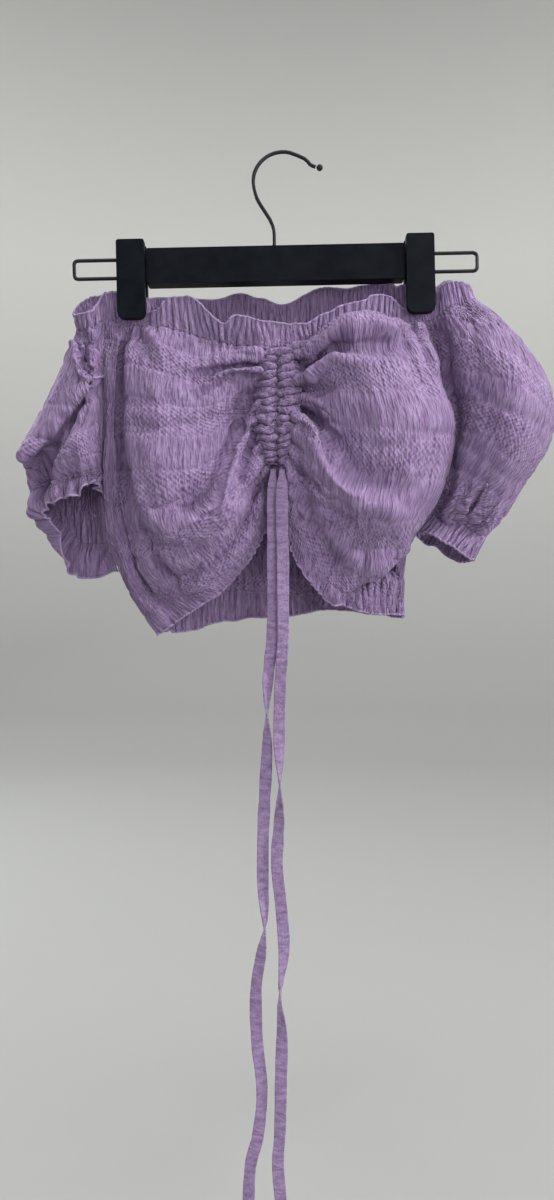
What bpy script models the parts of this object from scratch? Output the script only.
"""Off-the-shoulder crop top of lilac crinkle cotton, hung from a black clip hanger.

The origin is the inner top of the hanger's hook, where it hangs. +Z is up, +X is to the viewer's right and the
front faces -Y. The garment is built from its cut pieces: two fronts gathered on a drawn-up centre channel, a back,
two puff sleeves, the gathered frills at neck, hem and cuffs, and two long ties.
"""

import math

import bpy
import numpy as np

# Driving sizes, metres
HANGER_LENGTH = 0.363
CLOTH = 0.0012
SEAM_GAP = 0.0003
FRILL_GAP = 0.0009
HELD_OUT = 0.0011
BEHIND_CASING = (0, 0.0015, 0.0003)
TIE_WIDTH = 0.0105
TIE_THICKNESS = 0.0022
WIRE = 0.0035
HANGER_TILT = math.radians(-1.2)
BAR = (0.231, 0.015, 0.0315)
JAW = (0.025, 0.0075, 0.070)
CLIP_DEPTH = 0.024
LOOP_HEIGHT = 0.0165

# The photograph's frame: the hanger spans this many pixels, and the hook's inner top and the eye are here.
HANGER_PIXELS = 403
HANG_PIXEL = (283, 154)
EYE_PIXEL = (277, 600)
EYE_DISTANCE = 0.82
PIXEL = HANGER_LENGTH / HANGER_PIXELS
CLIP_PIXELS = (133, 416.5)
CENTRE_PIXEL = 277


def seen_at(px, py, out):
    """The point that shows at this pixel of the photograph, so many millimetres out in front of the hanger."""
    y = -out / 1000
    nearer = (EYE_DISTANCE + y) / EYE_DISTANCE
    eye_x = (EYE_PIXEL[0] - HANG_PIXEL[0]) * PIXEL
    eye_z = (HANG_PIXEL[1] - EYE_PIXEL[1]) * PIXEL
    x = eye_x + (px - EYE_PIXEL[0]) * PIXEL * nearer
    z = eye_z + (EYE_PIXEL[1] - py) * PIXEL * nearer
    return (x, y, z)


def smooth_curve(knots, steps):
    """Points of a Catmull-Rom curve through the knots, at parameters from 0 to 1."""
    knots = np.asarray(knots, float)
    ends = np.concatenate([2 * knots[:1] - knots[1:2], knots, 2 * knots[-1:] - knots[-2:-1]])
    place = np.clip(np.asarray(steps, float), 0, 1) * (len(knots) - 1)
    first = np.minimum(place.astype(int), len(knots) - 2)
    t = (place - first).reshape((-1,) + (1,) * (knots.ndim - 1))
    a, b, c, d = (ends[first + k] for k in range(4))
    return 0.5 * (2 * b + (c - a) * t + (2 * a - 5 * b + 4 * c - d) * t**2 + (3 * b - a - 3 * c + d) * t**3)


def surface(sections, down, across):
    """A grid of points through named sections, each a row of (px, py, out) from one edge to the other."""
    net = np.array([[seen_at(*point) for point in row[1:]] for row in sections])
    rows = smooth_curve(net, np.linspace(0, 1, down + 1))
    return smooth_curve(rows.transpose(1, 0, 2), np.linspace(0, 1, across + 1)).transpose(1, 0, 2)


def evenly(line, count):
    """A line's points, as many as asked and evenly spaced along it."""
    run = np.concatenate([[0], np.cumsum(np.linalg.norm(np.diff(line, axis=0), axis=1))])
    place = np.linspace(0, run[-1], count)
    return np.stack([np.interp(place, run, values) for values in line.T], axis=1)


def frill(stitched, free_edge, across, stitched_first=True):
    """A grid ruled between a stitched line of points and a free edge given as a row of (px, py, out), straight
    up and down."""
    edge = smooth_curve([seen_at(*point) for point in free_edge], np.linspace(0, 1, 12 * len(free_edge)))
    line = evenly(stitched, across + 1)
    share = (line[:, 0] - line[0, 0]) / (line[-1, 0] - line[0, 0])
    reach = np.maximum.accumulate((edge[:, 0] - edge[0, 0]) / (edge[-1, 0] - edge[0, 0]))
    rows = [line, np.stack([np.interp(share, reach, edge[:, k]) for k in range(3)], axis=1)]
    return np.array(rows if stitched_first else rows[::-1])


def round_frill(stitched, free_edge, finer, stitched_first=True):
    """The same round a sleeve: the free edge has a point for each section column, and each span of the stitched
    line is divided this many times."""
    count = len(stitched)
    steps = np.linspace(0, 1, (count - 1) * finer + 1)
    line = np.stack([np.interp(steps, np.linspace(0, 1, count), stitched[:, k]) for k in range(3)], axis=1)
    edge = smooth_curve([seen_at(*point) for point in free_edge], steps)
    return np.array([line, edge] if stitched_first else [edge, line])


def beyond(grid, first=False):
    """The line that carries on past a grid's last row, or its first, leaving the gap of a seam."""
    row, before = (grid[0], grid[1]) if first else (grid[-1], grid[-2])
    way = row - before
    return row + way / np.linalg.norm(way, axis=1, keepdims=True) * FRILL_GAP


def facing(grid, front):
    """Unit normals of the grid, turned so that those in its first quarter face the front or the back."""
    du = np.gradient(grid, axis=1)
    dv = np.gradient(grid, axis=0)
    normal = np.cross(du, dv)
    normal /= np.linalg.norm(normal, axis=2, keepdims=True) + 1e-12
    quarter = normal[:, : max(2, grid.shape[1] // 4), 1].mean()
    return normal if (quarter < 0) == front else -normal


def apparent(grid):
    """Where each point of the grid shows, in pixels of the photograph."""
    nearer = (EYE_DISTANCE + grid[..., 1]) / EYE_DISTANCE
    eye_x = (EYE_PIXEL[0] - HANG_PIXEL[0]) * PIXEL
    eye_z = (HANG_PIXEL[1] - EYE_PIXEL[1]) * PIXEL
    px = EYE_PIXEL[0] + (grid[..., 0] - eye_x) / nearer / PIXEL
    py = EYE_PIXEL[1] - (grid[..., 2] - eye_z) / nearer / PIXEL
    return np.stack([px, py], axis=-1)


def beside(points, route):
    """How far each apparent point is to the left or right of a fold's route, in pixels, and how far along it is."""
    line = smooth_curve(route, np.linspace(0, 1, 6 * len(route)))
    best = np.full(points.shape[:-1], np.inf)
    side = np.ones(points.shape[:-1])
    along = np.zeros(points.shape[:-1])
    for k, (a, b) in enumerate(zip(line[:-1], line[1:])):
        run = b - a
        off = points - a
        t = np.clip((off @ run) / (run @ run + 1e-9), 0, 1)
        far = np.linalg.norm(off - t[..., None] * run, axis=-1)
        closer = far < best
        best = np.where(closer, far, best)
        side = np.where(closer, np.sign(run[0] * off[..., 1] - run[1] * off[..., 0]), side)
        along = np.where(closer, (k + t) / (len(line) - 1), along)
    return best, side, along


def folded(grid, folds, front=True):
    """The grid with its ridges and troughs: each fold moves the cloth that faces its side along the normal."""
    normal = facing(grid, front)
    towards = np.clip(normal[..., 1] * (-1 if front else 1) * 1.6, 0, 1)
    where = apparent(grid)
    rise = np.zeros(grid.shape[:2])
    for _, start, end, left, right, *route in folds:
        far, side, along = beside(where, route)
        width = np.where(side > 0, right, left) * (0.85 + 0.3 * along)
        height = start + (end - start) * along**1.3
        rise += height / 1000 * np.exp(-((far / width) ** 2))
    if front:
        rise *= soft_step((abs(where[..., 0] - CENTRE_PIXEL) - 14) / 12) + (where[..., 1] > 480)
    return grid + normal * (rise * towards)[..., None]


def soft_step(x):
    x = np.clip(x, 0, 1)
    return x * x * (3 - 2 * x)


def clipped(grid):
    """1 where a clip's jaws hold the cloth, falling to 0 clear of them to the sides and below."""
    where = apparent(grid)
    clear = np.minimum(abs(where[..., 0] - CLIP_PIXELS[0]), abs(where[..., 0] - CLIP_PIXELS[1]))
    return (1 - soft_step((clear - 17) / 14)) * (1 - soft_step((where[..., 1] - 328) / 26))


def pinched(grid, first=-1, last=-1):
    """The grid drawn in between the clips' jaws where they hold it: -1 is the front layer and 1 the back one."""
    held = clipped(grid)
    drawn = grid.copy()
    layer = np.linspace(first, last, grid.shape[1]) * HELD_OUT
    drawn[..., 1] = grid[..., 1] * (1 - held) + held * layer
    return drawn


def gathered(grid, waves, height_top, height_edge, front=True, uneven=0.35):
    """The grid with waves across it, from one height at its first row to another at its last, uneven in pitch."""
    normal = facing(grid, front)
    u = np.linspace(0, 1, grid.shape[1])
    v = np.linspace(0, 1, grid.shape[0])[:, None]
    phase = 2 * math.pi * waves * u + uneven * 3 * np.sin(2 * math.pi * 3.3 * u + 1) + uneven * np.sin(40 * u)
    strength = 1 + uneven * np.sin(2 * math.pi * 2.3 * u + 2)
    rise = np.sin(phase) * strength * (height_top + (height_edge - height_top) * v) / 1000
    return grid + normal * (rise * (1 - clipped(grid)))[..., None]


def finish(name, mesh, material, parent=None):
    mesh.materials.append(material)
    obj = bpy.data.objects.new(name, mesh)
    bpy.context.scene.collection.objects.link(obj)
    obj.parent = parent
    return obj


def wall(name, grid, material, front=True, thickness=CLOTH):
    """One closed wall of cloth on both sides of a grid of points."""
    normal = facing(grid, front) * thickness / 2
    down, across = grid.shape[:2]
    outer = (grid + normal).reshape(-1, 3)
    inner = (grid - normal).reshape(-1, 3)
    count = down * across
    faces = []
    for i in range(down - 1):
        for j in range(across - 1):
            a = i * across + j
            faces.append((a, a + 1, a + across + 1, a + across))
            faces.append((count + a, count + a + across, count + a + across + 1, count + a + 1))
    rim = [j for j in range(across)]
    rim += [i * across + across - 1 for i in range(1, down)]
    rim += [(down - 1) * across + j for j in range(across - 2, -1, -1)]
    rim += [i * across for i in range(down - 2, 0, -1)]
    for a, b in zip(rim, rim[1:] + rim[:1]):
        faces.append((b, a, count + a, count + b))
    du = np.gradient(grid, axis=1)
    dv = np.gradient(grid, axis=0)
    if (np.cross(du, dv) * normal).sum() < 0:
        faces = [face[::-1] for face in faces]
    mesh = bpy.data.meshes.new(name)
    mesh.from_pydata(np.concatenate([outer, inner]).tolist(), [], faces)
    mesh.shade_smooth()
    return finish(name, mesh, material)


def material(name, colour, roughness, metallic=0.0):
    made = bpy.data.materials.new(name)
    made.use_nodes = True
    shader = made.node_tree.nodes["Principled BSDF"]
    shader.inputs["Base Color"].default_value = (*colour, 1)
    shader.inputs["Roughness"].default_value = roughness
    shader.inputs["Metallic"].default_value = metallic
    made.diffuse_color = (*colour, 1)
    return made


# The left front, from the centre seam to the side. Columns: section, then centre, inner, middle, outer, lobe edge,
# groove, strip, seam.
FRONT_LEFT = [
    ("casing", (276, 347, 19), (246, 346, 19), (208, 339, 16), (170, 331, 10), (142, 326, 1.5), (126, 324, 1),
     (114, 322, 1), (105, 320, 0)),
    ("upper", (276, 370, 22), (246, 371, 25), (207, 378, 25), (166, 368, 22), (134, 358, 14), (125, 358, 4),
     (113, 358, 7), (104, 358, 1)),
    ("chest", (276, 394, 23), (246, 399, 24), (206, 414, 31), (163, 411, 31), (132, 408, 20), (123, 408, 3),
     (111, 408, 8), (103, 408, 1)),
    ("waist", (276, 416, 23), (246, 424, 23), (205, 456, 37), (162, 460, 40), (130, 462, 24), (122, 463, 2),
     (109, 463, 8), (103, 463, 1)),
    ("belly", (276, 434, 22), (246, 450, 26), (206, 498, 43), (164, 512, 44), (134, 514, 26), (125, 516, 1),
     (112, 520, 8), (105, 522, 1)),
    ("swag", (276, 447, 21), (253, 474, 26), (220, 522, 42), (178, 550, 40), (148, 552, 22), (137, 554, 1),
     (122, 557, 8), (115, 560, 1)),
    ("band", (276, 456, 19), (262, 496, 21), (238, 546, 27), (199, 580, 25), (168, 588, 14), (152, 590, 3),
     (138, 594, 7), (132, 597, 1)),
    ("hem", (275, 464, 17), (269, 520, 14), (250, 560, 13), (222, 590, 12), (198, 607, 11), (180, 619, 9),
     (168, 628, 6), (158, 634, 1)),
]

# The right front, from the centre seam to the side. Columns: section, then centre, inner, middle, outer, edge, seam.
FRONT_RIGHT = [
    ("casing", (278, 347, 19), (303, 346, 18), (340, 338, 13), (378, 330, 8), (411, 325, 0.5), (429, 321, 0)),
    ("wing", (278, 357, 22), (305, 352, 26), (340, 321, 33), (380, 315, 31), (410, 334, 14), (433, 336, -5)),
    ("shoulder", (278, 370, 23), (305, 369, 24), (340, 346, 42), (382, 341, 42), (426, 354, 22), (439, 357, -7)),
    ("chest", (278, 388, 23), (308, 389, 26), (345, 380, 46), (393, 381, 51), (442, 390, 26), (443, 391, -8)),
    ("waist", (278, 406, 23), (310, 413, 29), (350, 421, 47), (403, 426, 56), (451, 430, 28), (446, 432, -9)),
    ("belly", (278, 422, 22), (312, 441, 36), (350, 469, 50), (400, 480, 55), (443, 482, 28), (440, 484, -8)),
    ("swag", (278, 437, 21), (307, 472, 37), (345, 514, 48), (385, 530, 46), (419, 524, 22), (420, 526, -6)),
    ("underside", (278, 446, 20), (297, 494, 31), (338, 546, 36), (374, 561, 26), (401, 552, 10), (406, 552, -4)),
    ("band", (279, 454, 19), (291, 516, 24), (330, 573, 21), (367, 588, 12), (396, 586, 6), (403, 586, -2)),
    ("hem", (281, 464, 18), (288, 542, 19), (325, 596, 15), (366, 612, 9), (394, 614, 4), (404, 615, 1)),
]

# The back, from its left seam to its right. Columns: section, then left, left clip, left inner, left middle, centre,
# right middle, right inner, right clip, right.
BACK = [
    ("casing", (105, 317, -7), (134, 327, -3), (172, 326, -12), (215, 328, -19), (277, 331, -22), (330, 320, -19),
     (372, 316, -12), (414, 324, -3), (430, 321, -5)),
    ("blades", (104, 362, -15), (136, 368, -19), (172, 372, -24), (215, 376, -27), (277, 380, -29), (330, 376, -27),
     (372, 370, -24), (416, 366, -19), (439, 362, -16)),
    ("middle", (103, 440, -17), (138, 445, -23), (172, 448, -27), (215, 450, -30), (277, 450, -31), (330, 450, -30),
     (374, 448, -27), (416, 443, -23), (446, 436, -19)),
    ("ribs", (103, 484, -15), (139, 488, -22), (173, 490, -27), (216, 492, -30), (277, 494, -31), (330, 492, -30),
     (372, 490, -27), (410, 487, -22), (439, 484, -16)),
    ("waist", (106, 524, -9), (142, 529, -18), (176, 533, -24), (218, 536, -28), (277, 538, -29), (328, 536, -28),
     (368, 533, -24), (400, 529, -18), (421, 525, -10)),
    ("hem line", (136, 598, -5), (160, 603, -9), (186, 600, -14), (225, 590, -19), (277, 592, -21), (325, 596, -19),
     (358, 598, -14), (388, 599, -9), (406, 598, -4)),
]

# The right sleeve, from the neck down to the cuff's elastic. Columns: section, then front seam, front crown, front
# outer, silhouette, back outer, back crown, back seam.
SLEEVE_RIGHT = [
    ("casing", (431, 321, -1), (450, 308, 7), (466, 303, 5), (474, 301, -3), (466, 302, -11), (450, 305, -14),
     (433, 319, -7)),
    ("cap", (437.4, 342, -7), (468, 334, 23), (498, 328, 16), (512, 331, -3), (498, 328, -22), (468, 334, -25),
     (438, 345, -18)),
    ("puff", (444.8, 386, -10), (490, 378, 35), (531, 374, 26), (547, 382, -3), (531, 374, -28), (488, 378, -31),
     (443, 386, -20)),
    ("fullest", (447.6, 430, -11), (500, 424, 39), (540, 424, 28), (554, 428, -3), (540, 424, -30), (498, 424, -34),
     (447.6, 430, -21)),
    ("below", (442.6, 484, -10), (488, 474, 35), (524, 470, 24), (537, 468, -3), (524, 470, -26), (488, 474, -30),
     (442.6, 482, -17)),
    ("gather", (436.5, 505, -8), (466, 508, 22), (496, 512, 15), (508, 508, -3), (496, 512, -18), (466, 508, -21),
     (436.5, 505, -13)),
    ("elastic", (431, 516, -8), (452, 521, 8), (474, 531, 7), (484, 535, -3), (474, 531, -13), (452, 521, -16),
     (431, 516, -11)),
]

# The left sleeve, whose cuff opens towards the viewer, in the same columns.
SLEEVE_LEFT = [
    ("casing", (103, 319, -2), (94, 327, 8), (85, 331, 7), (77, 329, -3), (84, 319, -11), (92, 313, -13),
     (103, 315, -9)),
    ("cap", (101.4, 350, -1), (93, 356, 17), (80, 356, 13), (69, 354, -2), (79, 352, -16), (92, 350, -20),
     (102, 350, -16)),
    ("puff", (101, 385, -1), (88, 391, 27), (68, 392, 22), (51, 391, -1), (66, 391, -21), (88, 390, -26),
     (101.6, 386, -18)),
    ("fullest", (101, 420, -1), (84, 424, 33), (58, 427, 27), (37, 424, -2), (56, 428, -25), (84, 426, -30),
     (101.6, 422, -19)),
    ("below", (101, 450, -1), (82, 449, 35), (52, 452, 29), (24, 449, -2), (48, 462, -26), (82, 470, -30),
     (101.6, 464, -18)),
    ("gather", (101, 466, -2), (84, 464, 28), (57, 468, 24), (27, 472, -3), (49, 490, -25), (80, 512, -28),
     (103, 509, -15)),
    ("elastic", (101, 476, -3), (86, 474, 20), (62, 480, 17), (31, 489, -4), (54, 512, -21), (80, 540, -24),
     (109, 544, -12)),
]

# The free edges of the frills, each a row of points from one end to the other.
NECK_FRONT_EDGE = [
    (105, 294, 0), (121, 295, 1), (145, 312, 2), (160, 307, 8), (167, 299, 10), (185, 297, 14), (197, 302, 17),
    (211, 316, 20), (224, 325, 21), (233, 317, 22), (247, 317, 22), (262, 321, 22), (283, 323, 22), (304, 324, 21),
    (325, 313, 18), (347, 304, 15), (366, 299, 11), (372, 295, 10), (390, 298, 7), (406, 309, 2), (428, 300, 1),
]
NECK_BACK_EDGE = [
    (105, 295, -8), (121, 293, -2), (145, 299, -2), (180, 298, -10), (215, 300, -16), (240, 295, -19),
    (262, 300, -21), (283, 306, -22), (305, 295, -21), (322, 289, -18), (345, 290, -15), (365, 287, -12),
    (385, 286, -8), (404, 286, -2), (429, 286, -3),
]
NECK_SLEEVE_RIGHT_EDGE = [
    (432, 300, -2), (446, 283, 6), (460, 282, 5), (469, 286, -3), (460, 284, -11), (446, 283, -12), (434, 287, -8),
]
NECK_SLEEVE_LEFT_EDGE = [
    (101, 298, -2), (92, 311, 12), (83, 315, 12), (74, 314, -2), (80, 304, -13), (91, 298, -15), (102, 296, -9),
]
HEM_BACK_EDGE = [
    (162, 632, -5), (186, 630, -14), (220, 622, -20), (277, 615, -22), (335, 609, -20), (375, 615, -14),
    (404, 617, -5),
]
CUFF_RIGHT_EDGE = [
    (417, 535, -8), (437, 547, 14), (460, 562, 11), (473, 560, -3), (462, 560, -16), (438, 546, -19), (417, 535, -12),
]
CUFF_LEFT_EDGE = [
    (101, 491, -3), (87, 489, 25), (60, 501, 22), (28, 511, -6), (49, 532, -17), (70, 570, -27), (113, 563, -14),
]

# Folds. Columns: name, height in millimetres at its start and its end (a trough is negative), half widths in pixels
# on the left and right hand of someone who walks the route, then the route's pixels.
FOLDS_LEFT = [
    ("top fold", 8, 0, 7, 5, (268, 353), (232, 357), (205, 361), (172, 368)),
    ("over the top fold", -3, -1, 8, 8, (252, 346), (220, 347), (190, 352)),
    ("under the top fold", -6, -1, 5, 6, (266, 362), (235, 367), (205, 373)),
    ("second fold", 9, 1, 7, 6, (268, 372), (244, 371), (221, 381), (196, 398)),
    ("under the second fold", -10, -2, 9, 6, (266, 386), (246, 397), (240, 414), (230, 438), (214, 462)),
    ("third fold", 8, 2, 6, 5, (264, 400), (253, 408), (246, 422)),
    ("rope", 10, 3, 18, 6, (266, 420), (243, 433), (237, 450), (227, 480), (218, 507), (193, 518), (165, 543),
     (150, 556)),
    ("hollow by the rope", -5, -8, 8, 16, (236, 432), (222, 466), (210, 490), (188, 506)),
    ("under the gathers", -7, -5, 6, 6, (264, 424), (257, 433), (247, 452), (240, 480)),
    ("puff under the gathers", 5, 3, 9, 9, (270, 444), (258, 456), (252, 478)),
    ("under the puff", -8, -3, 7, 7, (272, 474), (262, 488), (254, 506)),
    ("band's dip", -4, -2, 10, 10, (248, 520), (226, 552), (192, 574)),
    ("lobe's slope", 4, 0, 22, 22, (160, 350), (156, 430), (166, 500)),
]
FOLDS_RIGHT = [
    ("wing's crest", 6, 8, 7, 9, (300, 355), (316, 346), (326, 334), (346, 325), (376, 322), (400, 328)),
    ("under the wing", -8, -7, 6, 7, (298, 362), (311, 365), (322, 354), (338, 345), (366, 344), (396, 342)),
    ("second ridge", 8, 2, 7, 9, (298, 379), (312, 382), (324, 370), (338, 360), (364, 362)),
    ("under the second ridge", -7, 0, 6, 8, (298, 391), (320, 389), (344, 384), (366, 386)),
    ("third ridge", 8, 2, 7, 6, (298, 400), (315, 403), (327, 413), (337, 432)),
    ("deep crease", -11, -3, 6, 6, (300, 409), (318, 419), (330, 436), (340, 452)),
    ("band's ridge", 8, 3, 6, 20, (304, 418), (320, 434), (325, 456), (338, 478), (360, 498), (392, 506)),
    ("hollow beside the band", -6, -3, 12, 8, (340, 436), (350, 462), (372, 482), (400, 488)),
    ("band's dip", -4, -3, 9, 9, (296, 452), (302, 500), (318, 540), (338, 566)),
    ("clip pleat", 5, 1, 7, 7, (417, 330), (430, 360), (438, 400)),
    ("hollow under the clip", -5, 0, 7, 7, (404, 336), (414, 360), (424, 392)),
    ("lower hollow", -4, -4, 12, 12, (336, 516), (356, 536), (384, 542)),
    ("swag's lip", 4, 6, 8, 10, (334, 596), (352, 580), (376, 566), (402, 546)),
    ("under the swag", -3, -6, 7, 6, (346, 606), (364, 591), (386, 577), (408, 560)),
]
FOLDS_SLEEVE_RIGHT = [
    ("cap fold", 6, 2, 8, 8, (452, 316), (466, 360), (472, 410)),
    ("cap hollow", -5, -2, 8, 8, (466, 330), (488, 380), (492, 430)),
    ("puff fold", 3, 4, 12, 12, (492, 330), (518, 390), (520, 450)),
    ("cuff fold", 5, 2, 8, 8, (452, 513), (462, 490), (466, 455)),
    ("cuff hollow", -5, -2, 7, 7, (466, 520), (480, 500), (490, 468)),
    ("outer cuff fold", 4, 1, 7, 7, (480, 524), (498, 496), (512, 466)),
]
FOLDS_SLEEVE_LEFT = [
    ("outer flap", 6, 8, 9, 7, (74, 356), (60, 395), (44, 430), (33, 456)),
    ("deep fold", -13, -12, 8, 8, (92, 390), (74, 404), (60, 432), (49, 456), (46, 466)),
    ("inner puff", 6, 4, 12, 12, (92, 400), (84, 440), (80, 462)),
    ("pocket", -9, -4, 8, 8, (98, 348), (86, 368)),
    ("pocket's band", 6, 4, 5, 5, (84, 372), (104, 377)),
]
FOLDS_BACK = [
    ("left drape", 5, 2, 14, 14, (150, 330), (165, 440), (170, 560)),
    ("left hollow", -5, -2, 14, 14, (195, 335), (205, 430), (215, 540)),
    ("centre drape", 3, 5, 16, 16, (262, 340), (250, 430), (262, 560)),
    ("right hollow", -5, -2, 14, 14, (320, 330), (315, 430), (305, 540)),
    ("right drape", 5, 2, 14, 14, (380, 320), (365, 430), (350, 560)),
]

# The ruched centre channels. Columns: section, then the left edge, middle and right edge of each.
CHANNEL_PUCKERS = 11
CHANNEL_LEFT = [
    ("top", (263, 349, 23), (269, 348, 25), (275, 348, 23)),
    ("upper", (262, 375, 27), (268, 375, 29), (275, 375, 26)),
    ("middle", (261, 405, 28), (267, 405, 30), (275, 405, 26)),
    ("lower", (262, 436, 28), (268, 437, 30), (275, 438, 26)),
    ("bottom", (268, 463, 24), (271, 464, 26), (275, 465, 23)),
]
CHANNEL_RIGHT = [
    ("top", (279, 348, 23), (285, 348, 25), (291, 349, 24)),
    ("upper", (279, 375, 26), (286, 375, 30), (293, 375, 29)),
    ("middle", (279, 405, 26), (287, 405, 31), (294, 405, 31)),
    ("lower", (279, 438, 26), (284, 437, 31), (290, 436, 31)),
    ("bottom", (279, 465, 23), (282, 464, 27), (285, 463, 27)),
]

# The ties' routes, hanging free. Columns: px, py, out, turn in degrees.
TIE_LEFT = [
    (273, 469, 26, 0), (273, 490, 27, 0), (273, 520, 27, 5), (273, 560, 27, 0), (273, 600, 27, -10),
    (272, 640, 27, 0), (268, 680, 27, 20), (267, 715, 27, 90), (267, 750, 27, 165), (265, 790, 27, 180),
    (263, 840, 27, 190), (263, 885, 27, 190), (265, 925, 27, 260), (261, 955, 27, 330), (256, 990, 27, 350),
    (257, 1040, 27, 365), (262, 1090, 27, 380), (258, 1135, 27, 360), (250, 1170, 27, 350), (248, 1240, 27, 355),
]
TIE_RIGHT = [
    (282, 469, 31, 0), (282, 490, 32, 0), (282, 520, 32, -5), (283, 560, 32, 0), (283, 600, 32, 8),
    (283, 640, 31, 0), (280, 690, 31, -8), (279, 740, 31, 15), (280, 785, 31, 90), (279, 825, 31, 160),
    (277, 865, 31, 180), (281, 905, 31, 175), (284, 950, 31, 200), (280, 995, 31, 270), (282, 1035, 31, 345),
    (281, 1080, 31, 360), (280, 1130, 31, 350), (278, 1165, 31, 365), (281, 1205, 31, 360), (281, 1240, 31, 360),
]
TIE_STEPS = 42


def tie(name, route, made_of):
    """A folded strip: a lens section swept down the route and turned about it."""
    steps = np.linspace(0, 1, TIE_STEPS)
    path = smooth_curve([seen_at(*row[:3]) for row in route], steps)
    turn = np.radians(smooth_curve([[row[3]] for row in route], steps))[:, 0]
    half, thick = TIE_WIDTH / 2, TIE_THICKNESS / 2
    section = [(-half, 0), (-half * 0.8, thick), (half * 0.8, thick), (half, 0), (half * 0.8, -thick),
               (-half * 0.8, -thick)]
    along = np.gradient(path, axis=0)
    along /= np.linalg.norm(along, axis=1, keepdims=True)
    points = []
    for place, axis, angle in zip(path, along, turn):
        side = np.cross(axis, (0, 1, 0))
        side /= np.linalg.norm(side)
        face = np.cross(side, axis)
        wide = side * math.cos(angle) + face * math.sin(angle)
        flat = face * math.cos(angle) - side * math.sin(angle)
        points += [place + wide * a + flat * b for a, b in section]
    sides = len(section)
    faces = [tuple(reversed(range(sides)))]
    for i in range(TIE_STEPS - 1):
        for k in range(sides):
            a, b = i * sides + k, i * sides + (k + 1) % sides
            faces.append((a, b, b + sides, a + sides))
    faces.append(tuple(range((TIE_STEPS - 1) * sides, TIE_STEPS * sides)))
    mesh = bpy.data.meshes.new(name)
    mesh.from_pydata(points, [], faces)
    mesh.shade_smooth()
    return finish(name, mesh, made_of)


def channel(name, sections, made_of):
    """A casing drawn up on its cord: a rounded strip whose puckers run across it."""
    grid = surface(sections, 3 * CHANNEL_PUCKERS, 4)
    u = np.linspace(-1, 1, grid.shape[1])
    v = np.linspace(0, 1, grid.shape[0])[:, None]
    pucker = np.abs(np.sin(math.pi * (CHANNEL_PUCKERS * v + 0.25 * u)))
    rise = 0.0022 * pucker * np.sqrt(1 - 0.8 * u**2)
    return wall(name, grid + facing(grid, True) * rise[..., None], made_of)


def wire(name, points, made_of, parent=None, radius=WIRE / 2, sides=2):
    """Round wire along the points, with closed ends."""
    curve = bpy.data.curves.new(name, "CURVE")
    curve.dimensions = "3D"
    curve.bevel_depth = radius
    curve.bevel_resolution = sides
    curve.use_fill_caps = True
    line = curve.splines.new("POLY")
    line.points.add(len(points) - 1)
    for spot, place in zip(line.points, points):
        spot.co = (*place, 1)
    curve.materials.append(made_of)
    obj = bpy.data.objects.new(name, curve)
    bpy.context.scene.collection.objects.link(obj)
    obj.parent = parent
    return obj


def slab(name, size, centre, made_of, parent, bevel, low_round=None):
    """A block whose front outline has rounded corners, the lower ones rounder, with softened edges."""
    wide, deep, high = (side / 2 for side in size)
    low = low_round or bevel
    outline = []
    for cx, cz, r, start in ((wide, high, bevel, 0), (-wide, high, bevel, 90), (-wide, -high, low, 180),
                             (wide, -high, low, 270)):
        for k in range(4):
            angle = math.radians(start + 30 * k)
            outline.append((cx - math.copysign(r, cx) + r * math.cos(angle),
                            cz - math.copysign(r, cz) + r * math.sin(angle)))
    count = len(outline)
    points = [(x, -deep, z) for x, z in outline] + [(x, deep, z) for x, z in outline]
    faces = [tuple(reversed(range(count))), tuple(range(count, 2 * count))]
    faces += [(k, (k + 1) % count, count + (k + 1) % count, count + k) for k in range(count)]
    mesh = bpy.data.meshes.new(name)
    mesh.from_pydata(points, [], [face[::-1] for face in faces])
    obj = finish(name, mesh, made_of, parent)
    obj.location = centre
    return obj


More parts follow.
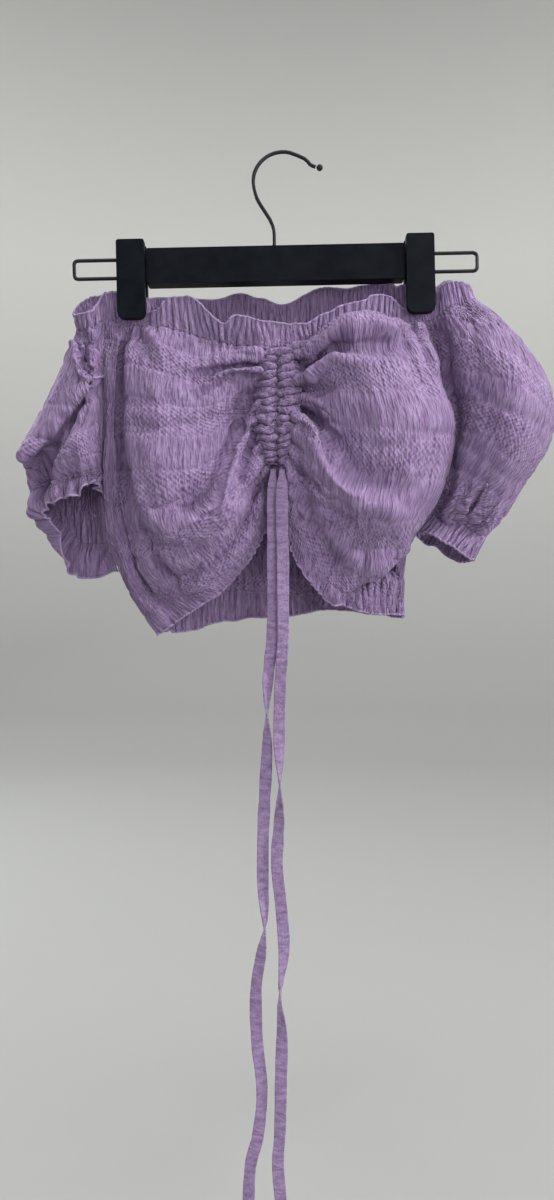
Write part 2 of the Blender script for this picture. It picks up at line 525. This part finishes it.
def hanger(plastic, metal, rubber):
    """The bar, hook, end loops and two clips. All but the hook lean together about the foot of its stem."""
    lean = bpy.data.objects.new("hanger", None)
    bpy.context.scene.collection.objects.link(lean)
    bar_at = seen_at(275.5, 266, 0)
    lean.location = bar_at
    lean.rotation_euler = (0, HANGER_TILT, 0)
    slab("hanger_bar", BAR, (0, 0, 0), plastic, lean, 0.002)
    end = HANGER_LENGTH / 2
    for side, sign in (("left", -1), ("right", 1)):
        inside = sign * (BAR[0] / 2 + SEAM_GAP)
        corner = 0.0036
        high = LOOP_HEIGHT / 2
        turn = [math.radians(30 * k) for k in range(4)]
        top = [(sign * (end - corner + corner * math.sin(a)), 0, high - corner + corner * math.cos(a)) for a in turn]
        points = [(inside, 0, high)] + top + [(x, y, -z) for x, y, z in reversed(top)] + [(inside, 0, -high)]
        wire(f"end_loop_{side}", points, metal, lean)
        middle = sign * (BAR[0] / 2 + 0.0135)
        drop = -0.0125
        for face, way in (("front", -1), ("rear", 1)):
            inner = CLIP_DEPTH / 2 - JAW[1] / 2
            slab(f"clip_{side}_{face}_jaw", JAW, (middle, way * inner, drop), plastic, lean, 0.002, 0.006)
            pad = (0.020, 0.0008, 0.012)
            slab(f"clip_{side}_{face}_pad", pad, (middle, way * 0.0038, drop - 0.026), rubber, lean, 0.001)
        block = (0.014, CLIP_DEPTH - 2 * JAW[1] - 0.0006, 0.010)
        slab(f"clip_{side}_pivot", block, (middle, 0, 0), metal, lean, 0.001)
    centre, radius = (283, 182), 30
    arc = [(centre[0] + radius * math.cos(math.radians(a)), centre[1] - radius * math.sin(math.radians(a)))
           for a in range(195, 60, -15)]
    stem = [(274, 248.5), (274, 240), (273.5, 230), (270, 220), (263, 209), (257, 199)]
    flare = [(305, 159), (310, 164.5), (315.5, 167)]
    knots = [seen_at(px, py, 0) for px, py in stem + arc + flare]
    wire("hanger_hook", smooth_curve(knots, np.linspace(0, 1, 34)).tolist(), metal)
    ball = bpy.data.meshes.new("hook_ball")
    rings, spokes, size = 6, 8, 0.003
    points = [(0, 0, size)]
    for i in range(1, rings):
        a = math.pi * i / rings
        points += [(size * math.sin(a) * math.cos(2 * math.pi * k / spokes),
                    size * math.sin(a) * math.sin(2 * math.pi * k / spokes), size * math.cos(a))
                   for k in range(spokes)]
    points.append((0, 0, -size))
    last = len(points) - 1
    faces = [(0, 1 + k, 1 + (k + 1) % spokes) for k in range(spokes)]
    for i in range(rings - 2):
        row = 1 + i * spokes
        faces += [(row + k, row + spokes + k, row + spokes + (k + 1) % spokes, row + (k + 1) % spokes)
                  for k in range(spokes)]
    row = last - spokes
    faces += [(last, row + (k + 1) % spokes, row + k) for k in range(spokes)]
    ball.from_pydata(points, [], faces)
    ball.shade_smooth()
    seen = seen_at(319.6, 167.7, 0)
    finish("hook_ball", ball, metal).location = seen


def main():
    for obj in list(bpy.data.objects):
        bpy.data.objects.remove(obj)
    lilac = material("lilac_crinkle_cotton", (0.37, 0.27, 0.50), 0.85)
    shade = material("lilac_binding", (0.32, 0.22, 0.44), 0.8)
    plastic = material("black_plastic", (0.012, 0.014, 0.018), 0.45)
    metal = material("black_coated_wire", (0.01, 0.011, 0.013), 0.35, 0.3)
    rubber = material("grey_rubber", (0.03, 0.03, 0.03), 0.8)

    left = pinched(folded(surface(FRONT_LEFT, 22, 24), FOLDS_LEFT))
    right = pinched(folded(surface(FRONT_RIGHT, 24, 22), FOLDS_RIGHT))
    back = pinched(folded(surface(BACK, 10, 24), FOLDS_BACK, False), 1, 1)
    sleeve_right = pinched(folded(surface(SLEEVE_RIGHT, 12, 24), FOLDS_SLEEVE_RIGHT), -1, 1)
    sleeve_left = pinched(folded(surface(SLEEVE_LEFT, 14, 24), FOLDS_SLEEVE_LEFT), -1, 1)
    wall("front_left", left, lilac)
    wall("front_right", right, lilac)
    wall("back", back, lilac, False)
    wall("sleeve_right", sleeve_right, lilac)
    wall("sleeve_left", sleeve_left, lilac)

    casing = np.concatenate([left[0, :0:-1], right[0, 1:]]) + np.array(BEHIND_CASING)
    grid = pinched(frill(casing, NECK_FRONT_EDGE, 128, False))
    wall("neck_frill_front", gathered(grid, 32, 1.7, 0.3), lilac)
    grid = pinched(frill(beyond(back, True), NECK_BACK_EDGE, 128, False), 1, 1)
    wall("neck_frill_back", gathered(grid, 32, 1.5, 0.3, False), lilac, False)
    grid = pinched(round_frill(beyond(sleeve_right, True), NECK_SLEEVE_RIGHT_EDGE, 2, False), -1, 1)
    wall("neck_frill_sleeve_right", gathered(grid, 9, 1.4, 0), lilac)
    grid = pinched(round_frill(beyond(sleeve_left, True), NECK_SLEEVE_LEFT_EDGE, 2, False), -1, 1)
    wall("neck_frill_sleeve_left", gathered(grid, 9, 1.2, 0), lilac)
    grid = frill(beyond(back), HEM_BACK_EDGE, 104)
    wall("hem_frill_back", gathered(grid, 26, 0.2, 2.2, False), lilac, False)
    grid = round_frill(beyond(sleeve_right), CUFF_RIGHT_EDGE, 3)
    wall("cuff_frill_right", gathered(grid, 15, 0, 2.0), lilac)
    grid = round_frill(beyond(sleeve_left), CUFF_LEFT_EDGE, 3)
    wall("cuff_frill_left", gathered(grid, 16, 0, 2.2), lilac)

    channel("channel_left", CHANNEL_LEFT, shade)
    channel("channel_right", CHANNEL_RIGHT, shade)
    tie("tie_left", TIE_LEFT, shade)
    tie("tie_right", TIE_RIGHT, shade)
    hanger(plastic, metal, rubber)


main()
